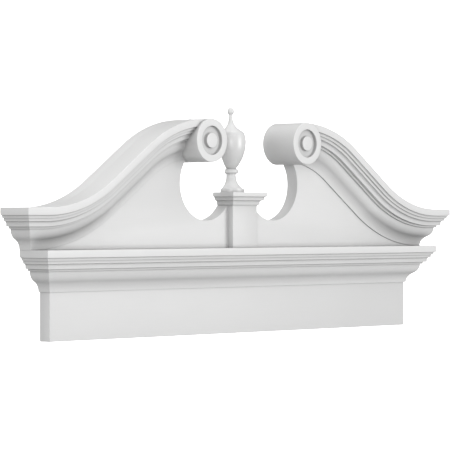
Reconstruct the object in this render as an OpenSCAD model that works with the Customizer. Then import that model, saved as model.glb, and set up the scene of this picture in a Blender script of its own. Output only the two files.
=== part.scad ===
// Broken scroll (swan-neck) pediment for a door head, assembled from boards,
// one crown moulding profile and turned pieces, and fixed flat to a wall.
// Millimetres. X runs along the width and Z is up. The wall is the plane
// Y = 0 and the front looks towards -Y. The origin is on the wall plane, at
// the middle of the back of the frieze board.

/* [Frieze board] */
// Length of the frieze board
frieze_w = 1200; // [900:10:1500]
// Height of frieze that shows below the cornice
frieze_face_h = 107.5; // [70:0.5:160]
// Thickness of the frieze board and of the tympanum board
board_t = 32.5; // [20:0.5:45]

/* [Crown moulding heights, from the top] */
// Height of the plain fascia
fascia_h = 16.5; // [12:0.5:24]
// Height of the small upper cove band
upper_cove_h = 6.5; // [5:0.5:9]
// Height of the fillet between the two coves
fillet_h = 6.5; // [4:0.5:9]
// Height of the main cove band
cove_h = 11.5; // [8:0.5:16]
// Height of the lower fillet
lower_fillet_h = 5; // [3:0.5:8]
// Height of the plain quirk above the ogee
quirk_h = 1.5; // [1:0.5:4]
// Height of the ogee
ogee_h = 44; // [36:0.5:56]

/* [Crown moulding projections, from the bottom] */
// Thickness of the moulding at its foot
foot_out = 3.6; // [2:0.2:8]
// Projection of the ogee
ogee_out = 25.4; // [20:0.2:32]
// Step from the ogee out to the lower fillet
ogee_step = 5; // [3:0.5:8]
// Step from the lower fillet out to the main cove
soffit_step = 7.5; // [4:0.5:12]
// Radius of the main cove
cove_r = 5; // [3:0.5:7]
// Lip between the main cove and the fillet
cove_lip = 2; // [1:0.5:4]
// Step from the fillet out to the upper cove
fillet_step = 4; // [2:0.5:7]
// Radius of the small upper cove
upper_cove_r = 3.5; // [2:0.5:5]
// Lip between the upper cove and the fascia
fascia_lip = 2; // [1:0.5:4]
// Share of the ogee's height taken by its upper, rounded part
ogee_share = 0.474; // [0.35:0.001:0.65]
// Depth by which the ogee's hollow runs into its round, so that they meet
ogee_lap = 0.02; // [0.01:0.01:0.05]

/* [Swan necks] */
// Rise of each neck from its foot to its crest
neck_rise = 203; // [150:1:260]
// Length of the straight stretch between the two bends
neck_straight = 144; // [60:1:200]
// Share of the bending done by the crest arc
crest_share = 0.5; // [0.4:0.01:0.6]
// Set-back of the tympanum's ends from the edge of the cornice
neck_set_back = 3; // [0:0.5:15]
// Hairline by which a neck's run sits above its mitred return
neck_lift = 0.1; // [0.05:0.05:0.5]
// Hairline by which a neck's mitred return stands in front of its run
return_proud = 0.1; // [0.05:0.05:0.5]

/* [Scrolls] */
// Distance between the centres of the two scrolls
scroll_spacing = 325; // [270:1:420]
// Diameter of the scroll cylinders
scroll_d = 99; // [80:1:130]
// How far the scrolls stand above the crests of the tympanum
scroll_rise = 0.3; // [0.2:0.1:4]
// How far a neck runs on inside its scroll before it is coped
neck_tuck = 4; // [2:0.5:5]
// How far the scrolls stand in front of the mouldings
scroll_proud = 7.5; // [2:0.5:20]
// Outer diameter of the sunk ring in the scroll's face
ring_outer_d = 66; // [56:0.5:74]
// Diameter of the round boss inside the sunk ring
boss_d = 34; // [20:0.5:46]
// Depth of the sunk ring
ring_depth = 7; // [3:0.5:20]

/* [Tympanum notches] */
// Angle below the scroll, off plumb, at which a notch ends
notch_end_angle = 24; // [5:1:60]
// Width of tympanum left showing beside the pedestal, under its cap
web_lip = 4; // [1:0.5:10]

/* [Pedestal] */
// Width of the pedestal block
pedestal_w = 82; // [60:1:110]
// Height of the pedestal block
pedestal_h = 98; // [70:1:140]
// How far the pedestal stands in front of the tympanum
pedestal_proud = 15.5; // [8:0.5:30]

/* [Pedestal cap] */
// Height of the cap's fascia
cap_fascia_h = 10; // [6:0.5:16]
// Height of the cap's upper cove band
cap_upper_h = 4.5; // [4:0.5:8]
// Height of the cap's fillet
cap_fillet_h = 4; // [2:0.5:8]
// Height of the cap's lower cove band
cap_cove_h = 10.5; // [8:0.5:16]
// Height of the cap's foot
cap_foot_h = 2; // [1:0.5:4]
// Projection of the cap's foot from the pedestal
cap_foot_out = 2.5; // [1:0.5:5]
// Step from the cap's foot out to its lower cove
cap_foot_step = 2; // [1:0.5:4]
// Radius of the cap's lower cove
cap_cove_r = 6; // [4:0.5:8]
// Lip between the lower cove and the fillet
cap_cove_lip = 1.5; // [0.5:0.5:4]
// Radius of the cap's upper cove
cap_upper_r = 4; // [2:0.5:4]
// Lip between the upper cove and the cap's fascia
cap_fascia_lip = 1.6; // [1:0.2:4]

/* [Urn] */
// Radius of the urn's round plinth
urn_plinth_r = 33.3; // [26:0.1:40]
// Height of the urn's round plinth
urn_plinth_h = 9; // [6:0.5:14]
// Radius of the stem between foot and bead
stem_r = 13.3; // [10:0.1:16]
// Height of the flared foot above the plinth
foot_h = 31; // [26:0.5:36]
// Height of the straight stem between the foot and the bead
stem_h = 3; // [1:0.5:8]
// Radius of the flare's hollow
foot_flare_r = 36.5; // [32:0.5:60]
// Radius of the bead's section
bead_r = 6.2; // [4:0.1:8]
// Height of the body below its widest level
bowl_h = 63; // [50:0.5:80]
// Greatest radius of the body
bowl_r = 37; // [30:0.5:44]
// Height of the body above its widest level
shoulder_h = 22; // [16:0.5:30]
// Radius of the curve of the upper body
shoulder_curve_r = 60; // [40:1:90]
// Radius of the neck of the lid
neck_r = 5.6; // [4:0.1:8]
// Radius of the hollow of the lid
lid_hollow_r = 33; // [26:0.5:42]
// Steepest slope of the lid, from plumb
lid_slope = 56; // [48:1:64]
// Length of the straight neck below the ball
neck_h = 6; // [2:0.5:12]
// Radius of the ball
ball_r = 9.3; // [7:0.1:12]

/* [Hidden] */
$fn = 96;

paint = [0.93, 0.93, 0.92];

// Crown moulding: depths below its top edge, and projections
h_upper = fascia_h;
h_fillet = h_upper + upper_cove_h;
h_cove = h_fillet + fillet_h;
h_lower = h_cove + cove_h;
h_quirk = h_lower + lower_fillet_h;
h_ogee = h_quirk + quirk_h;
crown_h = h_ogee + ogee_h;
out_ogee = foot_out + ogee_out;
out_lower = out_ogee + ogee_step;
out_cove = out_lower + soffit_step;
out_fillet = out_cove + cove_r + cove_lip;
out_upper = out_fillet + fillet_step;
crown_out = out_upper + upper_cove_r + fascia_lip;
ogee_angle = 2 * atan(ogee_out / ogee_h);
ogee_radii = ogee_h / sin(ogee_angle);
ogee_top_r = ogee_share * ogee_radii;
ogee_low_r = ogee_radii - ogee_top_r;

// Levels above the frieze board's bottom edge
base_h = frieze_face_h + crown_h;
foot_level = base_h + crown_h;
crest_level = foot_level + neck_rise;
front_out = board_t + crown_out;

// Swan neck path: crest arc, straight stretch and foot arc, all tangent
scroll_r = scroll_d / 2;
scroll_x = scroll_spacing / 2;
scroll_level = crest_level + scroll_rise - scroll_r;
neck_end = frieze_w / 2 + crown_out - neck_set_back;
neck_run = neck_end - scroll_x;
slope = 2 * atan(neck_rise / (neck_run + neck_straight));
neck_radii = (neck_run * sin(slope) - neck_rise * cos(slope)) / (1 - cos(slope));
crest_r = crest_share * neck_radii;
foot_r = neck_radii - crest_r;
crest_centre = [scroll_x, crest_level - crest_r];
tuck_angle = atan(neck_tuck / crest_r);

// Notch: the circle across from the pedestal cap's foot to the scroll
cap_under = base_h + pedestal_h;
notch_in = [pedestal_w / 2 + web_lip, cap_under];
notch_out = [scroll_x, scroll_level]
    + scroll_r * [sin(notch_end_angle), -cos(notch_end_angle)];
notch_centre = (notch_in + notch_out) / 2;
notch_r = norm(notch_out - notch_in) / 2;

// Pedestal cap: depths below its top, and projections
cap_h_upper = cap_fascia_h;
cap_h_fillet = cap_h_upper + cap_upper_h;
cap_h_cove = cap_h_fillet + cap_fillet_h;
cap_h_foot = cap_h_cove + cap_cove_h;
cap_h = cap_h_foot + cap_foot_h;
cap_out_cove = cap_foot_out + cap_foot_step;
cap_out_fillet = cap_out_cove + cap_cove_r + cap_cove_lip;
cap_out = cap_out_fillet + cap_upper_r + cap_fascia_lip;
cap_level = cap_under + cap_h;
pedestal_out = board_t + pedestal_proud;

// Urn: levels above the cap
z_stem = urn_plinth_h + foot_h;
z_bead = z_stem + stem_h + bead_r;
z_bowl = z_bead + bead_r;
z_wide = z_bowl + bowl_h;
z_shoulder = z_wide + shoulder_h;
bowl_curve_r = (bowl_h * bowl_h + pow(bowl_r - stem_r, 2)) / (2 * (bowl_r - stem_r));
shoulder_r = bowl_r - shoulder_curve_r
    + sqrt(pow(shoulder_curve_r, 2) - pow(shoulder_h, 2));
lid_r = neck_r + lid_hollow_r * (1 - cos(lid_slope));
z_lid = z_shoulder + (shoulder_r - lid_r) / tan(lid_slope);
z_neck = z_lid + lid_hollow_r * sin(lid_slope);
z_ball = z_neck + neck_h + sqrt(pow(ball_r, 2) - pow(neck_r, 2));

// A cove band: its hollow starts "lip" inside the band above and comes down
// to the plain face at "out". Drawn from the face at X = 0, top at Y = 0.
module cove_band(out, radius, height) {
    difference() {
        translate([0, -height])
            square([out + radius, height]);
        translate([out, -height - 1])
            square([radius + 1, height - radius + 1]);
        translate([out + radius, -radius])
            circle(r = radius);
    }
}

// A plain band of the moulding, from depth "top" to depth "bottom"
module plain_band(out, top, bottom) {
    translate([0, -bottom])
        square([out, bottom - top]);
}

// The ogee: a rounded upper part that turns into a hollow lower part. The
// line between the two centres crosses the profile where it turns.
module ogee_band() {
    round_centre = [out_ogee - ogee_top_r, 0];
    hollow_centre = [foot_out + ogee_low_r, -ogee_h];
    difference() {
        translate([0, -ogee_h])
            square([out_ogee, ogee_h]);
        difference() {
            polygon([
                round_centre,
                hollow_centre,
                [out_ogee + ogee_low_r, -ogee_h],
                [out_ogee + ogee_low_r, 0]
            ]);
            translate([out_ogee, 0])
                translate([-ogee_top_r, 0])
                    circle(r = ogee_top_r);
        }
        translate([foot_out, ogee_lap - ogee_h])
            translate([ogee_low_r, 0])
                circle(r = ogee_low_r);
    }
}

// Section of the crown moulding: back at X = 0, top at Y = 0
module crown_section() {
    plain_band(crown_out, 0, h_upper);
    translate([0, -h_upper])
        cove_band(out_upper, upper_cove_r, upper_cove_h);
    plain_band(out_fillet, h_fillet, h_cove);
    translate([0, -h_cove])
        cove_band(out_cove, cove_r, cove_h);
    plain_band(out_lower, h_lower, h_quirk);
    plain_band(out_ogee, h_quirk, h_ogee);
    translate([0, -h_ogee])
        ogee_band();
}

// Section of the pedestal cap's moulding: back at X = 0, top at Y = 0
module cap_section() {
    plain_band(cap_out, 0, cap_h_upper);
    translate([0, -cap_h_upper])
        cove_band(cap_out_fillet, cap_upper_r, cap_upper_h);
    plain_band(cap_out_fillet, cap_h_fillet, cap_h_cove);
    translate([0, -cap_h_cove])
        cove_band(cap_out_cove, cap_cove_r, cap_cove_h);
    plain_band(cap_foot_out, cap_h_foot, cap_h);
}

// Stands work drawn in front view (X right, Y up, Z out of the wall) upright,
// with the wall plane at Y = 0 and the origin at the frieze's mid-height
module upright() {
    rotate([90, 0, 0])
        translate([0, -base_h / 2, 0])
            children();
}

// Extrudes a section (X out of the wall, Y up) along +X, in front view
module run_along(length) {
    translate([length, 0, 0])
        rotate([0, -90, 0])
            linear_extrude(height = length)
                children();
}

// A core block with the section in children(0) returned round its front and
// both sides, mitred at the corners: top at "top", back on the wall
module returned_block(half_w, depth, out, height, top) {
    intersection() {
        linear_extrude(height = depth + out)
            union() {
                translate([-half_w, top - height])
                    square([2 * half_w, height]);
                translate([half_w, top])
                    children(0);
                translate([-half_w, top])
                    mirror([1, 0])
                        children(0);
            }
        translate([-half_w - out, 0, 0])
            run_along(2 * (half_w + out))
                union() {
                    translate([0, top - height])
                        square([depth, height]);
                    translate([depth, top])
                        children(0);
                }
    }
}

module frieze_board() {
    color(paint)
        upright()
            translate([-frieze_w / 2, 0, 0])
                cube([frieze_w, base_h, board_t]);
}

// Cornice: crown moulding along the front of the frieze board, with mitred
// returns round both ends back to the wall
module cornice() {
    color(paint)
        upright()
            difference() {
                returned_block(frieze_w / 2, board_t, crown_out, crown_h, base_h)
                    crown_section();
                translate([-frieze_w / 2, base_h - 2 * crown_h, -1])
                    cube([frieze_w, 3 * crown_h, board_t + 1]);
            }
}

// Stands work in the right-hand neck's own frame: origin at the centre of
// the crest arc, straight stretch level and crest_r above the origin
module along_neck(lift) {
    translate([crest_centre[0], crest_centre[1] + lift, 0])
        rotate([0, 0, -slope])
            children();
}

// Moves work drawn about the neck frame's origin to the foot arc's centre
module to_foot_centre() {
    translate([neck_straight, crest_r, 0])
        translate([0, foot_r, 0])
            children();
}

// The air over the right-hand neck's S-shaped top edge: over the crest arc,
// over the straight stretch and over the foot arc
module air_over_neck() {
    along_neck(0) {
        difference() {
            translate([-crest_r, crest_r * cos(slope)])
                square([crest_r, crest_r + foot_r]);
            circle(r = crest_r, $fn = 360);
        }
        translate([0, crest_r])
            square([neck_straight, foot_r]);
        to_foot_centre()
            circle(r = foot_r, $fn = 360);
    }
}

// Tympanum: one board with S-shaped shoulders, cut down between the scrolls,
// cut round them, and with a round notch on each side of the pedestal
module tympanum() {
    color(paint)
        upright()
            linear_extrude(height = board_t)
                difference() {
                    translate([-neck_end, base_h])
                        square([2 * neck_end, crest_level - base_h]);
                    translate([-scroll_x, cap_under])
                        square([scroll_spacing, crest_level]);
                    for (side = [0, 1])
                        mirror([side, 0])
                            air_over_neck();
                    for (side = [-1, 1]) {
                        translate([side * scroll_x, scroll_level])
                            circle(r = scroll_r);
                        translate([side * notch_centre[0], notch_centre[1]])
                            circle(r = notch_r);
                    }
                }
}

// Mitred end of the right-hand neck, returned round the tympanum's end
module neck_return() {
    front = board_t + return_proud;
    intersection() {
        translate([neck_end, foot_level, 0])
            linear_extrude(height = front + crown_out)
                crown_section();
        translate([neck_end, foot_level, 0])
            run_along(crown_out)
                union() {
                    translate([0, -crown_h])
                        square([front, crown_h]);
                    translate([front, 0])
                        crown_section();
                }
    }
}

// The crown moulding run along the right-hand neck: round the crest, down
// the straight stretch and round the foot
module neck_run_moulding() {
    translate([0, 0, board_t])
        along_neck(neck_lift) {
            rotate([0, 0, 90])
                rotate_extrude(angle = slope + tuck_angle, $fn = 360)
                    translate([crest_r, 0])
                        mirror([1, -1])
                            crown_section();
            translate([0, crest_r, 0])
                run_along(neck_straight)
                    crown_section();
            to_foot_centre()
                rotate([0, 0, 270])
                    rotate_extrude(angle = slope + tuck_angle, $fn = 360)
                        translate([foot_r, 0])
                            rotate(90)
                                crown_section();
        }
}

// Right-hand neck: the moulding coped to the scroll at its crest, cut plumb
// at its foot, and returned there
module swan_neck() {
    difference() {
        neck_run_moulding();
        translate([scroll_x, scroll_level, -1])
            cylinder(r = scroll_r, h = front_out + scroll_proud + 2);
        translate([neck_end, base_h - crown_h, 0])
            cube([crown_out, 3 * crown_h, 2 * front_out]);
    }
    neck_return();
}

module swan_neck_right() {
    color(paint)
        upright()
            swan_neck();
}

module swan_neck_left() {
    color(paint)
        upright()
            mirror([1, 0, 0])
                swan_neck();
}

// Scroll: a plain cylinder out from the wall, its face cut with one sunk
// ring that leaves a flat rim and a flat round boss
module scroll(side) {
    scroll_out = front_out + scroll_proud;
    upright()
        translate([side * scroll_x, scroll_level, 0])
            difference() {
                cylinder(r = scroll_r, h = scroll_out);
                translate([0, 0, scroll_out - ring_depth])
                    difference() {
                        cylinder(d = ring_outer_d, h = ring_depth + 1);
                        translate([0, 0, -1])
                            cylinder(d = boss_d, h = ring_depth + 3);
                    }
            }
}

module scroll_left() {
    color(paint)
        scroll(-1);
}

module scroll_right() {
    color(paint)
        scroll(1);
}

module pedestal() {
    color(paint)
        upright()
            translate([-pedestal_w / 2, base_h, board_t])
                cube([pedestal_w, pedestal_h, pedestal_proud]);
}

module pedestal_cap() {
    color(paint)
        upright()
            returned_block(pedestal_w / 2, pedestal_out, cap_out, cap_h, cap_level)
                cap_section();
}

// Half-section of the urn: axis at X = 0, standing on Y = 0
module urn_section() {
    square([urn_plinth_r, urn_plinth_h]);
    difference() {
        translate([0, urn_plinth_h])
            square([urn_plinth_r, foot_h]);
        translate([stem_r + foot_flare_r, z_stem])
            circle(r = foot_flare_r);
    }
    translate([0, z_stem])
        square([stem_r, z_bowl - z_stem]);
    intersection() {
        translate([0, z_bead - bead_r])
            square([2 * stem_r, 2 * bead_r]);
        translate([stem_r, z_bead])
            circle(r = bead_r);
    }
    intersection() {
        translate([0, z_bowl])
            square([bowl_r, bowl_h]);
        translate([bowl_r - bowl_curve_r, z_wide])
            circle(r = bowl_curve_r, $fn = 180);
    }
    intersection() {
        translate([0, z_wide])
            square([bowl_r, shoulder_h]);
        translate([bowl_r - shoulder_curve_r, z_wide])
            circle(r = shoulder_curve_r, $fn = 180);
    }
    polygon([
        [0, z_shoulder],
        [shoulder_r, z_shoulder],
        [lid_r, z_lid],
        [0, z_lid]
    ]);
    difference() {
        translate([0, z_lid])
            square([lid_r, z_neck - z_lid]);
        translate([neck_r + lid_hollow_r, z_neck])
            circle(r = lid_hollow_r);
    }
    translate([0, z_neck])
        square([neck_r, z_ball - z_neck]);
    intersection() {
        translate([0, z_ball - ball_r])
            square([ball_r, 2 * ball_r]);
        translate([0, z_ball])
            circle(r = ball_r);
    }
}

// Urn: a half-round turning with its flat back on the wall plane
module urn_finial() {
    color(paint)
        translate([0, 0, cap_level - base_h / 2])
            rotate([0, 0, 180])
                rotate_extrude(angle = 180)
                    urn_section();
}

frieze_board();
cornice();
tympanum();
swan_neck_left();
swan_neck_right();
scroll_left();
scroll_right();
pedestal();
pedestal_cap();
urn_finial();
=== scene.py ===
from math import atan2, cos, degrees, pi, radians, sin, sqrt, tan

import bmesh
import bpy
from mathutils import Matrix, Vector
from mathutils.geometry import tessellate_polygon


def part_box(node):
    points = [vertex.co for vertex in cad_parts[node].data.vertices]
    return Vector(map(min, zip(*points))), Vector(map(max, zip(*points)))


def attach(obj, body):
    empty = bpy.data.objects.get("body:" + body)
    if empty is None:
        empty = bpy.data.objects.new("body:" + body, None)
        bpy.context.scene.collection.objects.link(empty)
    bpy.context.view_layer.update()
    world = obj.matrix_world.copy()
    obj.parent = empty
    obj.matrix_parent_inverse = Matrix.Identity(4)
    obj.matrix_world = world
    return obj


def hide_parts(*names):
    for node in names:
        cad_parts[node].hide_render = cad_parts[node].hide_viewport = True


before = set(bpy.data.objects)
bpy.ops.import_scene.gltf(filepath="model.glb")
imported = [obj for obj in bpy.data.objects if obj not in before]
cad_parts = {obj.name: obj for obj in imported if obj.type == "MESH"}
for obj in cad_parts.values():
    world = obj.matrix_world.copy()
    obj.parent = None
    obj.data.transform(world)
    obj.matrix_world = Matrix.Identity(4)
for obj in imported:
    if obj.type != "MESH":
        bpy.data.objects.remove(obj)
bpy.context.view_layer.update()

MM = 0.001

# ---------------------------------------------------------------------------
# Levels and places, from the CAD boxes. Metres: X right, Y into the wall, Z up.
# ---------------------------------------------------------------------------
FRIEZE_LOW, FRIEZE_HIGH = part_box("frieze_board")
TYMPANUM_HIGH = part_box("tympanum")[1]
CORNICE_LOW, CORNICE_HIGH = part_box("cornice")
SCROLL_LOW, SCROLL_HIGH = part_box("scroll_right")
PEDESTAL_LOW, PEDESTAL_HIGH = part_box("pedestal")
CAP_LOW, CAP_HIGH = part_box("pedestal_cap")

WALL = FRIEZE_HIGH[1]
HALF_FRIEZE = FRIEZE_HIGH[0]
BOARD_T = WALL - FRIEZE_LOW[1]
BOARD_FRONT = WALL - BOARD_T
BASE_LEVEL = FRIEZE_HIGH[2]
CROWN_H = CORNICE_HIGH[2] - CORNICE_LOW[2]
FOOT_LEVEL = BASE_LEVEL + CROWN_H
CREST_LEVEL = TYMPANUM_HIGH[2]
NECK_END = TYMPANUM_HIGH[0]
SCROLL_R = 0.5 * (SCROLL_HIGH[2] - SCROLL_LOW[2])
SCROLL_X = 0.5 * (SCROLL_LOW[0] + SCROLL_HIGH[0])
SCROLL_LEVEL = 0.5 * (SCROLL_LOW[2] + SCROLL_HIGH[2])

# Swan neck path: crest arc, straight stretch and foot arc, all tangent, the arcs of one radius
NECK_STRAIGHT = 144 * MM
NECK_TUCK = 3 * MM
NECK_RUN = NECK_END - SCROLL_X
NECK_RISE = CREST_LEVEL - FOOT_LEVEL
SLOPE = 2 * atan2(NECK_RISE, NECK_RUN + NECK_STRAIGHT)
BOTH_RADII = (NECK_RUN * sin(SLOPE) - NECK_RISE * cos(SLOPE)) / (1 - cos(SLOPE))
BEND_R = BOTH_RADII / 2
CREST_CENTRE = (SCROLL_X, CREST_LEVEL - BEND_R)
FOOT_CENTRE = (NECK_END, FOOT_LEVEL + BEND_R)

# ---------------------------------------------------------------------------
# Sizes of the sections, in millimetres as in the CAD
# ---------------------------------------------------------------------------

# Rounding of edges: bold and plain arrises, inner corners and fine inner corners
TOP_ARRIS = 0.9
BOLD_ARRIS = 0.6
ARRIS = 0.5
CORNER = 0.4
FINE_CORNER = 0.25

# Crown moulding: depths below its top edge
FASCIA_H = 16.5
FILLET_TOP = FASCIA_H + 6.5
COVE_TOP = FILLET_TOP + 6.5
LOWER_FILLET_TOP = COVE_TOP + 11.5
QUIRK_TOP = LOWER_FILLET_TOP + 5
OGEE_TOP = QUIRK_TOP + 1.5
OGEE_FOOT = OGEE_TOP + 44

# Crown moulding: projections and radii
FOOT_OUT = 3.6
OGEE_OUT = FOOT_OUT + 25.4
LOWER_OUT = OGEE_OUT + 5
COVE_OUT = LOWER_OUT + 7.5
COVE_R = 5
FILLET_OUT = COVE_OUT + COVE_R + 2
UPPER_OUT = FILLET_OUT + 4
UPPER_COVE_R = 3.5
FASCIA_OUT = UPPER_OUT + UPPER_COVE_R + 2
OGEE_TOP_R = 24.1
OGEE_LOW_R = 26.7
OGEE_TURN = 60

# Pedestal cap: depths below its top, projections and radii
CAP_FASCIA_H = 10
CAP_FILLET_TOP = CAP_FASCIA_H + 4.5
CAP_COVE_TOP = CAP_FILLET_TOP + 4
CAP_FOOT_TOP = CAP_COVE_TOP + 10.5
CAP_H = CAP_FOOT_TOP + 2
CAP_FOOT_OUT = 2.5
CAP_COVE_OUT = CAP_FOOT_OUT + 2
CAP_COVE_R = 6
CAP_FILLET_OUT = CAP_COVE_OUT + CAP_COVE_R + 1.5
CAP_UPPER_R = 4
CAP_FASCIA_OUT = CAP_FILLET_OUT + CAP_UPPER_R + 1.6
CAP_TOP_ARRIS = 0.7
CAP_FOOT_ARRIS = 0.3
CAP_CORNER = 0.2

# Notch in the tympanum
NOTCH_END_ANGLE = radians(24)
WEB_LIP = 4 * MM

# Scroll face: radii of the boss and of the sunk ring, and the ring's depth
BOSS_R = 17
RING_R = 33
RING_DEPTH = 7
RING_ARRIS = 0.8
RING_CORNER = 1.0
RIM_ARRIS = 1.2

# Urn: heights, radii and the curves between them
URN_PLINTH_R = 33.3
URN_PLINTH_H = 9
FLARE_H = 31
FLARE_R = 36.5
STEM_R = 13.3
STEM_H = 3
BEAD_R = 6.2
BOWL_R = 37
BOWL_H = 63
SHOULDER_H = 22
SHOULDER_CURVE_R = 60
LID_SLOPE = 56
LID_HOLLOW_R = 33
LID_NECK_R = 5.6
LID_NECK_H = 6
BALL_R = 9.3
PLINTH_ARRIS = 0.9
PLINTH_CORNER = 0.3

# ---------------------------------------------------------------------------
# Outlines
# ---------------------------------------------------------------------------

NEARLY_STRAIGHT = radians(178)
LONGEST_EASE = 0.45


def arc(centre, radius, start, end, steps):
    """Points of an arc, angles in degrees, the end point included."""
    points = []
    for i in range(steps + 1):
        a = radians(start + (end - start) * i / steps)
        points.append((centre[0] + radius * cos(a), centre[1] + radius * sin(a)))
    return points


def eased(corners, steps=3):
    """A polyline through corners (x, y, radius) with each corner rounded by its radius."""
    points = []
    last = len(corners) - 1
    for i, (x, y, radius) in enumerate(corners):
        if radius <= 0 or i == 0 or i == last:
            points.append((x, y))
            continue
        here = Vector((x, y))
        before = Vector(corners[i - 1][:2]) - here
        after = Vector(corners[i + 1][:2]) - here
        opening = before.angle(after)
        if opening > NEARLY_STRAIGHT:
            points.append((x, y))
            continue
        shorter = min(before.length, after.length)
        reach = min(radius / tan(opening / 2), LONGEST_EASE * shorter)
        start = here + before.normalized() * reach
        end = here + after.normalized() * reach
        for k in range(steps + 1):
            t = k / steps
            p = start * (1 - t) ** 2 + here * 2 * t * (1 - t) + end * t ** 2
            points.append((p.x, p.y))
    return points


def plain(points):
    """Corners with no rounding, for eased()."""
    return [(x, y, 0) for x, y in points]


def cove(out, top, radius, steps):
    """The hollow of a cove band whose face is at "out" and whose top is at "top"."""
    return plain(arc((out + radius, top + radius), radius, 270, 180, steps)[1:])


def crown_outline():
    """Section of the crown moulding as (projection, depth below its top), in metres."""
    corners = [(0, 0, 0), (FASCIA_OUT, 0, TOP_ARRIS), (FASCIA_OUT, FASCIA_H, BOLD_ARRIS)]
    corners += [(UPPER_OUT + UPPER_COVE_R, FASCIA_H, FINE_CORNER)]
    corners += cove(UPPER_OUT, FASCIA_H, UPPER_COVE_R, 8)
    corners += [(UPPER_OUT, FILLET_TOP, ARRIS), (FILLET_OUT, FILLET_TOP, CORNER)]
    corners += [(FILLET_OUT, COVE_TOP, ARRIS), (COVE_OUT + COVE_R, COVE_TOP, FINE_CORNER)]
    corners += cove(COVE_OUT, COVE_TOP, COVE_R, 10)
    corners += [(COVE_OUT, LOWER_FILLET_TOP, BOLD_ARRIS), (LOWER_OUT, LOWER_FILLET_TOP, CORNER)]
    corners += [(LOWER_OUT, QUIRK_TOP, ARRIS), (OGEE_OUT, QUIRK_TOP, CORNER)]
    round_centre = (OGEE_OUT - OGEE_TOP_R, OGEE_TOP)
    hollow_centre = (FOOT_OUT + OGEE_LOW_R, OGEE_FOOT)
    corners += plain(arc(round_centre, OGEE_TOP_R, 0, OGEE_TURN, 14))
    corners += plain(arc(hollow_centre, OGEE_LOW_R, 180 + OGEE_TURN, 180, 14)[1:-1])
    corners += [(FOOT_OUT, OGEE_FOOT, CORNER), (0, OGEE_FOOT, 0)]
    return [(out * MM, depth * MM) for out, depth in eased(corners)]


def cap_outline():
    """Section of the pedestal cap's moulding as (projection, depth below its top)."""
    corners = [(0, 0, 0), (CAP_FASCIA_OUT, 0, CAP_TOP_ARRIS), (CAP_FASCIA_OUT, CAP_FASCIA_H, ARRIS)]
    corners += [(CAP_FILLET_OUT + CAP_UPPER_R, CAP_FASCIA_H, CAP_CORNER)]
    corners += cove(CAP_FILLET_OUT, CAP_FASCIA_H, CAP_UPPER_R, 8)
    corners += [(CAP_FILLET_OUT, CAP_FILLET_TOP, CAP_CORNER)]
    corners += [(CAP_FILLET_OUT, CAP_COVE_TOP, CORNER)]
    corners += [(CAP_COVE_OUT + CAP_COVE_R, CAP_COVE_TOP, CAP_CORNER)]
    corners += cove(CAP_COVE_OUT, CAP_COVE_TOP, CAP_COVE_R, 10)
    corners += [(CAP_COVE_OUT, CAP_FOOT_TOP, CORNER), (CAP_FOOT_OUT, CAP_FOOT_TOP, CAP_CORNER)]
    corners += [(CAP_FOOT_OUT, CAP_H, CAP_FOOT_ARRIS), (0, CAP_H, 0)]
    return [(out * MM, depth * MM) for out, depth in eased(corners)]


def neck_path(tuck=0.0, steps=44):
    """Stations (x, z, normal x, normal z) down the right-hand neck's top edge."""
    stations = []
    start = -atan2(tuck, BEND_R)
    for i in range(steps + 1):
        a = start + (SLOPE - start) * i / steps
        x = CREST_CENTRE[0] + BEND_R * sin(a)
        z = CREST_CENTRE[1] + BEND_R * cos(a)
        stations.append((x, z, sin(a), cos(a)))
    straight_steps = 6
    x0, z0 = stations[-1][:2]
    for i in range(1, straight_steps):
        step = NECK_STRAIGHT * i / straight_steps
        stations.append((x0 + step * cos(SLOPE), z0 - step * sin(SLOPE), sin(SLOPE), cos(SLOPE)))
    for i in range(steps + 1):
        a = SLOPE * (1 - i / steps)
        x = FOOT_CENTRE[0] - BEND_R * sin(a)
        z = FOOT_CENTRE[1] - BEND_R * cos(a)
        stations.append((x, z, sin(a), cos(a)))
    return stations


# ---------------------------------------------------------------------------
# Mesh helpers
# ---------------------------------------------------------------------------


SAME_PLACE = 1e-7
SMOOTH_BELOW = radians(28)


def make_object(name, bm, material):
    """Turns a bmesh into a piece that rides on the root body."""
    bmesh.ops.remove_doubles(bm, verts=bm.verts, dist=SAME_PLACE)
    bmesh.ops.recalc_face_normals(bm, faces=bm.faces)
    for face in bm.faces:
        face.smooth = True
    for edge in bm.edges:
        if len(edge.link_faces) == 2:
            edge.smooth = edge.calc_face_angle(0.0) < SMOOTH_BELOW
    mesh = bpy.data.meshes.new(name)
    bm.to_mesh(mesh)
    bm.free()
    piece = bpy.data.objects.new(name, mesh)
    bpy.context.scene.collection.objects.link(piece)
    mesh.materials.append(material)
    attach(piece, "root")
    return piece


def ring_length(ring):
    return sum((Vector(p) - Vector(q)).length for p, q in zip(ring, ring[1:]))


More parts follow.
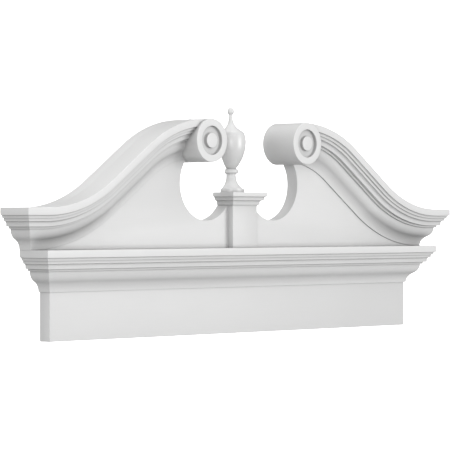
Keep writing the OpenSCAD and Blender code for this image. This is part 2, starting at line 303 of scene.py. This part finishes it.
def loft(bm, rings, closed=True):
    """Joins rings of 3-D points, each with the same number of points, and caps closed ones.

    Texture runs: U along the rings' order, V round them.
    """
    layer = bm.loops.layers.uv.verify()
    grid = [[bm.verts.new(p) for p in ring] for ring in rings]
    count = len(rings[0])
    along = [0.0]
    for a, b in zip(rings, rings[1:]):
        gap = max((Vector(p) - Vector(q)).length for p, q in zip(a, b))
        along.append(along[-1] + gap)
    widest = max(rings, key=ring_length)
    around = [0.0]
    for p, q in zip(widest, widest[1:] + widest[:1]):
        around.append(around[-1] + (Vector(p) - Vector(q)).length)
    spans = count if closed else count - 1
    for i in range(len(grid) - 1):
        for j in range(spans):
            k = (j + 1) % count
            corners = [(i, j, j), (i + 1, j, j), (i + 1, k, j + 1), (i, k, j + 1)]
            verts = []
            uvs = []
            for row, column, v_index in corners:
                vert = grid[row][column]
                if vert not in verts:
                    verts.append(vert)
                    uvs.append((along[row], around[v_index]))
            if len(verts) < 3:
                continue
            face = bm.faces.new(verts)
            for loop, uv in zip(face.loops, uvs):
                loop[layer].uv = uv
    if closed:
        bm.faces.new(grid[0])
        bm.faces.new(list(reversed(grid[-1])))


def returned_ring(half_w, front, top, outline, station):
    """The section at one station of a moulding returned round a block's three sides."""
    ring = []
    for out, depth in outline:
        z = top - depth
        if station == "left_wall":
            ring.append((-half_w - out, WALL, z))
        elif station == "left_mitre":
            ring.append((-half_w - out, front - out, z))
        elif station == "right_mitre":
            ring.append((half_w + out, front - out, z))
        else:
            ring.append((half_w + out, WALL, z))
    return ring


RETURN_STATIONS = ("left_wall", "left_mitre", "right_mitre", "right_wall")


def board(name, low, high, material, ease=1.2 * MM):
    """A board with eased arrises."""
    bm = bmesh.new()
    bmesh.ops.create_cube(bm, size=1.0)
    size = [h - l for l, h in zip(low, high)]
    middle = [(h + l) / 2 for l, h in zip(low, high)]
    for vert in bm.verts:
        vert.co = Vector([m + c * s for m, c, s in zip(middle, vert.co, size)])
    bmesh.ops.bevel(bm, geom=list(bm.edges), offset=ease, segments=3, profile=0.5, affect="EDGES")
    layer = bm.loops.layers.uv.verify()
    for face in bm.faces:
        for loop in face.loops:
            loop[layer].uv = (loop.vert.co.x + loop.vert.co.y, loop.vert.co.z)
    return make_object(name, bm, material)


def extruded_board(name, outline, thickness, material, ease=0.9 * MM):
    """A board cut to an outline of (x, z), its back on the wall, its front arris eased."""
    bm = bmesh.new()
    layer = bm.loops.layers.uv.verify()
    front = WALL - thickness
    count = len(outline)
    inner = []
    for i in range(count):
        here = Vector(outline[i])
        before = (here - Vector(outline[i - 1])).normalized()
        after = (Vector(outline[(i + 1) % count]) - here).normalized()
        normal_a = Vector((-before.y, before.x))
        normal_b = Vector((-after.y, after.x))
        normal = (normal_a + normal_b).normalized()
        stretch = 1 / max(0.5, normal.dot(normal_a))
        inner.append(normal * stretch)
    rows = []
    steps = 3
    rows.append([(p[0], WALL, p[1]) for p in outline])
    for k in range(steps + 1):
        a = pi / 2 * k / steps
        inset = ease * (1 - cos(a))
        y = front + ease * (1 - sin(a))
        rows.append([(p[0] + n.x * inset, y, p[1] + n.y * inset) for p, n in zip(outline, inner)])
    grid = [[bm.verts.new(p) for p in row] for row in rows]
    for a, b in zip(grid, grid[1:]):
        for j in range(count):
            k = (j + 1) % count
            bm.faces.new((a[j], a[k], b[k], b[j]))
    for row, points in ((grid[0], rows[0]), (grid[-1], rows[-1])):
        flat = [Vector((x, z, 0)) for x, _, z in points]
        for triangle in tessellate_polygon([flat]):
            bm.faces.new([row[i] for i in triangle])
    for face in bm.faces:
        for loop in face.loops:
            loop[layer].uv = (loop.vert.co.x, loop.vert.co.z)
    return make_object(name, bm, material)


def turned(name, outline, centre, axis, angle, steps, material):
    """A turning: outline of (radius, height along the axis) swept round the axis.

    Axis "y" points out from the wall and "z" points up. Half a turn is the front half.
    """
    bm = bmesh.new()
    rings = []
    for i in range(steps + 1):
        a = angle * i / steps
        ring = []
        for radius, height in outline:
            across = (radius * cos(a), radius * sin(a))
            if axis == "y":
                ring.append((centre[0] + across[0], centre[1] - height, centre[2] + across[1]))
            else:
                ring.append((centre[0] + across[0], centre[1] - across[1], centre[2] + height))
        rings.append(ring)
    loft(bm, rings, closed=False)
    if angle < 2 * pi:
        bmesh.ops.remove_doubles(bm, verts=bm.verts, dist=SAME_PLACE)
        bmesh.ops.holes_fill(bm, edges=[e for e in bm.edges if len(e.link_faces) == 1], sides=0)
    return make_object(name, bm, material)


# ---------------------------------------------------------------------------
# Paint: white satin, with fine texture for each way of working and painted shade in hollows
# ---------------------------------------------------------------------------


WHITE = (0.70, 0.70, 0.698)
RECESS_REACH = 90 * MM
CREVICE_REACH = 12 * MM
STREAK_DEPTH = 0.04 * MM
PEEL_DEPTH = 0.03 * MM
SHEEN_SPREAD = 0.05
CLOUD_SCALE = 5.0
PEEL_SCALE = 520.0
FILM_SCALE = 60.0


def paint(name, streak_scale, streak_depth, roughness, recess, crevice):
    """White satin paint. The streaks follow the texture run: U along, V across.

    "recess" and "crevice" say how dark the painted shade gets in wide and in narrow hollows.
    """
    material = bpy.data.materials.new(name)
    material.use_nodes = True
    tree = material.node_tree
    tree.nodes.clear()
    link = tree.links.new

    def node(kind, **values):
        made = tree.nodes.new(kind)
        for key, value in values.items():
            setattr(made, key, value)
        return made

    def noise(vector, scale, detail, roughness=0.5):
        made = node("ShaderNodeTexNoise")
        made.inputs["Scale"].default_value = scale
        made.inputs["Detail"].default_value = detail
        made.inputs["Roughness"].default_value = roughness
        link(vector, made.inputs["Vector"])
        return made.outputs["Fac"]

    def spread(value, low, high):
        made = node("ShaderNodeMapRange")
        made.inputs["From Min"].default_value = 0.3
        made.inputs["From Max"].default_value = 0.7
        made.inputs["To Min"].default_value = low
        made.inputs["To Max"].default_value = high
        link(value, made.inputs["Value"])
        return made.outputs["Result"]

    coords = node("ShaderNodeTexCoord")
    stretch = node("ShaderNodeMapping")
    stretch.inputs["Scale"].default_value = streak_scale
    link(coords.outputs["UV"], stretch.inputs["Vector"])
    streaks = noise(stretch.outputs["Vector"], 1.0, 4.0, 0.6)
    clouds = noise(coords.outputs["Object"], CLOUD_SCALE, 3.0)
    peel = noise(coords.outputs["Object"], PEEL_SCALE, 2.0)
    film = noise(coords.outputs["Object"], FILM_SCALE, 3.0)

    def painted_shade(reach, darkest):
        """Painted shade in hollows, from ambient occlusion: 1 in the open, "darkest" deep inside."""
        hollows = node("ShaderNodeAmbientOcclusion")
        hollows.samples = 8
        hollows.inputs["Distance"].default_value = reach
        made = node("ShaderNodeMapRange")
        made.inputs["To Min"].default_value = darkest
        made.inputs["To Max"].default_value = 1.0
        link(hollows.outputs["AO"], made.inputs["Value"])
        return made.outputs["Result"]

    def product(first, *others):
        for other in others:
            made = node("ShaderNodeMath", operation="MULTIPLY")
            link(first, made.inputs[0])
            link(other, made.inputs[1])
            first = made.outputs[0]
        return first

    # Colour: faint random tone and streaks, times painted shade in wide and in narrow hollows
    shade = product(
        spread(clouds, 0.99, 1.01),
        spread(streaks, 0.993, 1.007),
        painted_shade(RECESS_REACH, recess),
        painted_shade(CREVICE_REACH, crevice),
    )
    colour = node("ShaderNodeVectorMath", operation="SCALE")
    colour.inputs[0].default_value = WHITE
    link(shade, colour.inputs["Scale"])

    surface = node("ShaderNodeBsdfPrincipled")
    surface.inputs["Specular IOR Level"].default_value = 0.45
    surface.inputs["IOR"].default_value = 1.48
    link(colour.outputs["Vector"], surface.inputs["Base Color"])
    link(spread(film, roughness - SHEEN_SPREAD, roughness + SHEEN_SPREAD), surface.inputs["Roughness"])

    grain = node("ShaderNodeBump")
    grain.inputs["Strength"].default_value = 0.35
    grain.inputs["Distance"].default_value = streak_depth
    link(streaks, grain.inputs["Height"])
    skin = node("ShaderNodeBump")
    skin.inputs["Strength"].default_value = 0.25
    skin.inputs["Distance"].default_value = PEEL_DEPTH
    link(peel, skin.inputs["Height"])
    link(grain.outputs["Normal"], skin.inputs["Normal"])
    link(skin.outputs["Normal"], surface.inputs["Normal"])

    output = node("ShaderNodeOutputMaterial")
    link(surface.outputs["BSDF"], output.inputs["Surface"])
    return material


# recess and crevice: how dark the painted shade gets in each piece's wide and narrow hollows
board_paint = paint(
    "board_paint",
    streak_scale=(9, 420, 1),
    streak_depth=0.05 * MM,
    roughness=0.45,
    recess=0.74,
    crevice=0.95,
)
moulding_paint = paint(
    "moulding_paint",
    streak_scale=(6, 700, 1),
    streak_depth=STREAK_DEPTH,
    roughness=0.45,
    recess=0.40,
    crevice=0.86,
)
scroll_paint = paint(
    "scroll_paint",
    streak_scale=(8, 900, 1),
    streak_depth=STREAK_DEPTH,
    roughness=0.45,
    recess=0.6,
    crevice=0.36,
)
urn_paint = paint(
    "urn_paint",
    streak_scale=(8, 900, 1),
    streak_depth=STREAK_DEPTH,
    roughness=0.24,
    recess=0.66,
    crevice=0.82,
)

# ---------------------------------------------------------------------------
# Pieces
# ---------------------------------------------------------------------------

frieze = board("frieze_board_painted", FRIEZE_LOW, FRIEZE_HIGH, board_paint)
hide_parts("frieze_board")

CROWN = crown_outline()

bm = bmesh.new()
loft(bm, [returned_ring(HALF_FRIEZE, BOARD_FRONT, BASE_LEVEL, CROWN, s) for s in RETURN_STATIONS])
cornice = make_object("cornice_painted", bm, moulding_paint)
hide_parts("cornice")


def neck_rings():
    """Sections of the right-hand neck from its crest, inside the scroll, to the wall at its foot."""
    rings = []
    for x, z, nx, nz in neck_path(tuck=NECK_TUCK):
        rings.append([(x - d * nx, BOARD_FRONT - out, z - d * nz) for out, d in CROWN])
    rings.append([(NECK_END + out, BOARD_FRONT - out, FOOT_LEVEL - d) for out, d in CROWN])
    rings.append([(NECK_END + out, WALL, FOOT_LEVEL - d) for out, d in CROWN])
    return rings


for side, word in ((-1, "left"), (1, "right")):
    bm = bmesh.new()
    loft(bm, [[(side * x, y, z) for x, y, z in ring] for ring in neck_rings()])
    neck = make_object("swan_neck_" + word + "_painted", bm, moulding_paint)
    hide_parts("swan_neck_" + word)

# Tympanum: its outline runs anticlockwise as seen from the front
notch_in = Vector((PEDESTAL_HIGH[0] + WEB_LIP, CAP_LOW[2]))
notch_out = Vector((
    SCROLL_X + SCROLL_R * sin(NOTCH_END_ANGLE),
    SCROLL_LEVEL - SCROLL_R * cos(NOTCH_END_ANGLE),
))
notch_centre = (notch_in + notch_out) / 2
notch_r = (notch_out - notch_in).length / 2


def tympanum_outline():
    """Right-hand half from the foot up, round the scroll and the notch, then its mirror."""
    half = [(NECK_END, BASE_LEVEL)]
    half += [(x, z) for x, z, _, _ in reversed(neck_path())]
    round_steps = 40
    for i in range(1, round_steps):
        a = radians(90) - (radians(180) - NOTCH_END_ANGLE) * i / round_steps
        half.append((SCROLL_X + SCROLL_R * cos(a), SCROLL_LEVEL + SCROLL_R * sin(a)))
    turn_start = atan2(notch_out.y - notch_centre.y, notch_out.x - notch_centre.x)
    turn_end = atan2(notch_in.y - notch_centre.y, notch_in.x - notch_centre.x)
    if turn_end > turn_start:
        turn_end -= 2 * pi
    notch_steps = 72
    for i in range(notch_steps + 1):
        a = turn_start + (turn_end - turn_start) * i / notch_steps
        half.append((notch_centre.x + notch_r * cos(a), notch_centre.y + notch_r * sin(a)))
    return half + [(-x, z) for x, z in reversed(half)]


tympanum = extruded_board("tympanum_painted", tympanum_outline(), BOARD_T, board_paint)
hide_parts("tympanum")

# Scrolls: cylinders from the wall, with one sunk ring in the face
SCROLL_OUT = (WALL - SCROLL_LOW[1]) / MM
RIM_R = SCROLL_R / MM


def scroll_outline():
    """Half-section of a scroll as (radius, distance from the wall), centre of the face first."""
    ring_floor = SCROLL_OUT - RING_DEPTH
    corners = [(0, SCROLL_OUT, 0), (BOSS_R, SCROLL_OUT, RING_ARRIS)]
    corners += [(BOSS_R, ring_floor, RING_CORNER), (RING_R, ring_floor, RING_CORNER)]
    corners += [(RING_R, SCROLL_OUT, RING_ARRIS), (RIM_R, SCROLL_OUT, RIM_ARRIS)]
    corners += [(RIM_R, 0, 0), (0, 0, 0)]
    return [(r * MM, h * MM) for r, h in eased(corners, 4)]


for side, word in ((-1, "left"), (1, "right")):
    centre = (side * SCROLL_X, WALL, SCROLL_LEVEL)
    name = "scroll_" + word + "_painted"
    scroll = turned(name, scroll_outline(), centre, "y", angle=2 * pi, steps=144, material=scroll_paint)
    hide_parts("scroll_" + word)

pedestal = board("pedestal_painted", PEDESTAL_LOW, PEDESTAL_HIGH, board_paint, ease=0.8 * MM)
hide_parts("pedestal")

# Pedestal cap: the moulding mitred round a core, its top and underside plain
HALF_PEDESTAL = PEDESTAL_HIGH[0]
cap_ring = [(-HALF_PEDESTAL, 0)] + cap_outline()[1:-1] + [(-HALF_PEDESTAL, CAP_HIGH[2] - CAP_LOW[2])]
cap_rings = []
for station in RETURN_STATIONS:
    cap_rings.append(returned_ring(HALF_PEDESTAL, PEDESTAL_LOW[1], CAP_HIGH[2], cap_ring, station))
bm = bmesh.new()
loft(bm, cap_rings, closed=False)
bmesh.ops.remove_doubles(bm, verts=bm.verts, dist=SAME_PLACE)
bmesh.ops.holes_fill(bm, edges=[e for e in bm.edges if len(e.link_faces) == 1], sides=0)
cap = make_object("pedestal_cap_painted", bm, moulding_paint)
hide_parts("pedestal_cap")


def urn_outline():
    """Half-section of the urn as (radius, height above the cap), foot first."""
    stem = URN_PLINTH_H + FLARE_H
    bead = stem + STEM_H + BEAD_R
    bowl = bead + BEAD_R
    wide = bowl + BOWL_H
    shoulder = wide + SHOULDER_H
    swell = BOWL_R - STEM_R
    bowl_curve_r = (BOWL_H ** 2 + swell ** 2) / (2 * swell)
    shoulder_rise = sqrt(SHOULDER_CURVE_R ** 2 - SHOULDER_H ** 2)
    shoulder_r = BOWL_R - SHOULDER_CURVE_R + shoulder_rise
    slope = radians(LID_SLOPE)
    lid_r = LID_NECK_R + LID_HOLLOW_R * (1 - cos(slope))
    lid = shoulder + (shoulder_r - lid_r) / tan(slope)
    neck = lid + LID_HOLLOW_R * sin(slope)
    ball_rise = sqrt(BALL_R ** 2 - LID_NECK_R ** 2)
    ball = neck + LID_NECK_H + ball_rise
    flare_run = sqrt(FLARE_R ** 2 - FLARE_H ** 2)
    foot_r = STEM_R + FLARE_R - flare_run

    corners = [(0, 0, 0), (URN_PLINTH_R, 0, CORNER), (URN_PLINTH_R, URN_PLINTH_H, PLINTH_ARRIS)]
    corners += [(foot_r, URN_PLINTH_H, PLINTH_CORNER)]
    flare_start = 180 + degrees(atan2(FLARE_H, flare_run))
    corners += plain(arc((STEM_R + FLARE_R, stem), FLARE_R, flare_start, 180, 16)[1:])
    corners += [(STEM_R, stem + STEM_H, 0)]
    corners += plain(arc((STEM_R, bead), BEAD_R, -90, 90, 16)[1:-1])
    corners += [(STEM_R, bowl, 0)]
    bowl_start = -degrees(atan2(BOWL_H, bowl_curve_r - swell))
    corners += plain(arc((BOWL_R - bowl_curve_r, wide), bowl_curve_r, bowl_start, 0, 22)[1:])
    shoulder_end = degrees(atan2(SHOULDER_H, shoulder_rise))
    shoulder_centre = (BOWL_R - SHOULDER_CURVE_R, wide)
    corners += plain(arc(shoulder_centre, SHOULDER_CURVE_R, 0, shoulder_end, 10)[1:-1])
    corners += [(shoulder_r, shoulder, BOLD_ARRIS)]
    lid_centre = (LID_NECK_R + LID_HOLLOW_R, neck)
    corners += plain(arc(lid_centre, LID_HOLLOW_R, 180 + LID_SLOPE, 180, 14))
    ball_start = -degrees(atan2(ball_rise, LID_NECK_R))
    corners += plain(arc((0, ball), BALL_R, ball_start, 90, 18))
    return [(max(r, 0) * MM, h * MM) for r, h in eased(corners)]


urn_foot = (0, WALL, CAP_HIGH[2])
urn = turned("urn_painted", urn_outline(), urn_foot, "z", angle=pi, steps=72, material=urn_paint)
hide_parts("urn_finial")

# ---------------------------------------------------------------------------
# Stage: pale floor and a white backdrop, soft light, camera
# ---------------------------------------------------------------------------


def stage_card(name, size, tone, glow):
    """A plain square card for the stage."""
    bm = bmesh.new()
    bmesh.ops.create_grid(bm, x_segments=1, y_segments=1, size=size / 2)
    mesh = bpy.data.meshes.new(name)
    bm.to_mesh(mesh)
    bm.free()
    card = bpy.data.objects.new(name, mesh)
    bpy.context.scene.collection.objects.link(card)
    material = bpy.data.materials.new(name)
    material.use_nodes = True
    surface = material.node_tree.nodes["Principled BSDF"]
    surface.inputs["Base Color"].default_value = (tone, tone, tone, 1)
    surface.inputs["Roughness"].default_value = 0.9
    surface.inputs["Specular IOR Level"].default_value = 0.1
    surface.inputs["Emission Color"].default_value = (1, 1, 1, 1)
    surface.inputs["Emission Strength"].default_value = glow
    mesh.materials.append(material)
    return card


AZIMUTH = radians(-46.4)
ELEVATION = radians(0.13)
DISTANCE = 5.70263
FLOOR_LEVEL = -2.4
BACKDROP_DISTANCE = 2.6
LOOK_AT = Vector((-0.01762, 0, 0.15224))
toward = Vector((sin(AZIMUTH) * cos(ELEVATION), -cos(AZIMUTH) * cos(ELEVATION), sin(ELEVATION)))

floor = stage_card("floor", size=3.0, tone=0.7, glow=0.0)
floor.location = (0, 0, FLOOR_LEVEL)

backdrop = stage_card("backdrop", size=2.0, tone=0.9, glow=1.2)
backdrop.rotation_euler = toward.to_track_quat("Z", "Y").to_euler()
backdrop.location = LOOK_AT - toward * BACKDROP_DISTANCE

world = bpy.data.worlds.new("soft_room")
bpy.context.scene.world = world
world.use_nodes = True
sky = world.node_tree
background = sky.nodes["Background"]
place = sky.nodes.new("ShaderNodeTexCoord")
split = sky.nodes.new("ShaderNodeSeparateXYZ")
sky.links.new(place.outputs["Generated"], split.inputs["Vector"])


def sky_value(operation, value, number):
    """One arithmetic step of the room's brightness."""
    made = sky.nodes.new("ShaderNodeMath")
    made.operation = operation
    made.inputs[1].default_value = number
    sky.links.new(value, made.inputs[0])
    return made.outputs[0]


def sky_sum(first, second):
    made = sky.nodes.new("ShaderNodeMath")
    sky.links.new(first, made.inputs[0])
    sky.links.new(second, made.inputs[1])
    return made.outputs[0]


# The room is bright overhead, dim at eye level and dark straight below
OVERHEAD = 2.6
OVERHEAD_FALLOFF = 5
EYE_LEVEL = 0.18
POLE_DROP = 0.15
upward = sky_value("MAXIMUM", split.outputs["Z"], 0)
overhead = sky_value("MULTIPLY", sky_value("POWER", upward, OVERHEAD_FALLOFF), OVERHEAD)
towards_poles = sky_value("MULTIPLY", sky_value("ABSOLUTE", split.outputs["Z"], 0), -POLE_DROP)
room = sky_value("ADD", sky_sum(overhead, towards_poles), EYE_LEVEL)
sky.links.new(room, background.inputs["Strength"])
background.inputs["Color"].default_value = (1, 1, 1, 1)

LIGHT_DISTANCE = 4.5
LIGHT_SIZE = 2.2


def soft_box(name, azimuth, elevation, power):
    """A square soft box aimed at the object: azimuth 0 is in front, elevation 0 is level."""
    data = bpy.data.lights.new(name, "AREA")
    data.shape = "SQUARE"
    data.size = LIGHT_SIZE
    data.energy = power
    a = radians(azimuth)
    e = radians(elevation)
    aim = Vector((sin(a) * cos(e), -cos(a) * cos(e), sin(e)))
    lamp = bpy.data.objects.new(name, data)
    lamp.location = LOOK_AT + aim * LIGHT_DISTANCE
    lamp.rotation_euler = aim.to_track_quat("Z", "Y").to_euler()
    bpy.context.scene.collection.objects.link(lamp)


soft_box("left_front_box", azimuth=-42, elevation=4, power=102)
soft_box("right_front_box", azimuth=30, elevation=4, power=107)
soft_box("left_end_box", azimuth=-95, elevation=5, power=44)

camera_data = bpy.data.cameras.new("camera")
camera_data.sensor_width = 36
camera_data.lens = 195.01
camera_data.clip_end = 50
camera = bpy.data.objects.new("camera", camera_data)
camera.location = LOOK_AT + toward * DISTANCE
camera.rotation_euler = toward.to_track_quat("Z", "Y").to_euler()
bpy.context.scene.collection.objects.link(camera)
bpy.context.scene.camera = camera

view = bpy.context.scene.view_settings
view.view_transform = "Standard"
view.look = "None"
view.exposure = 0
view.gamma = 1
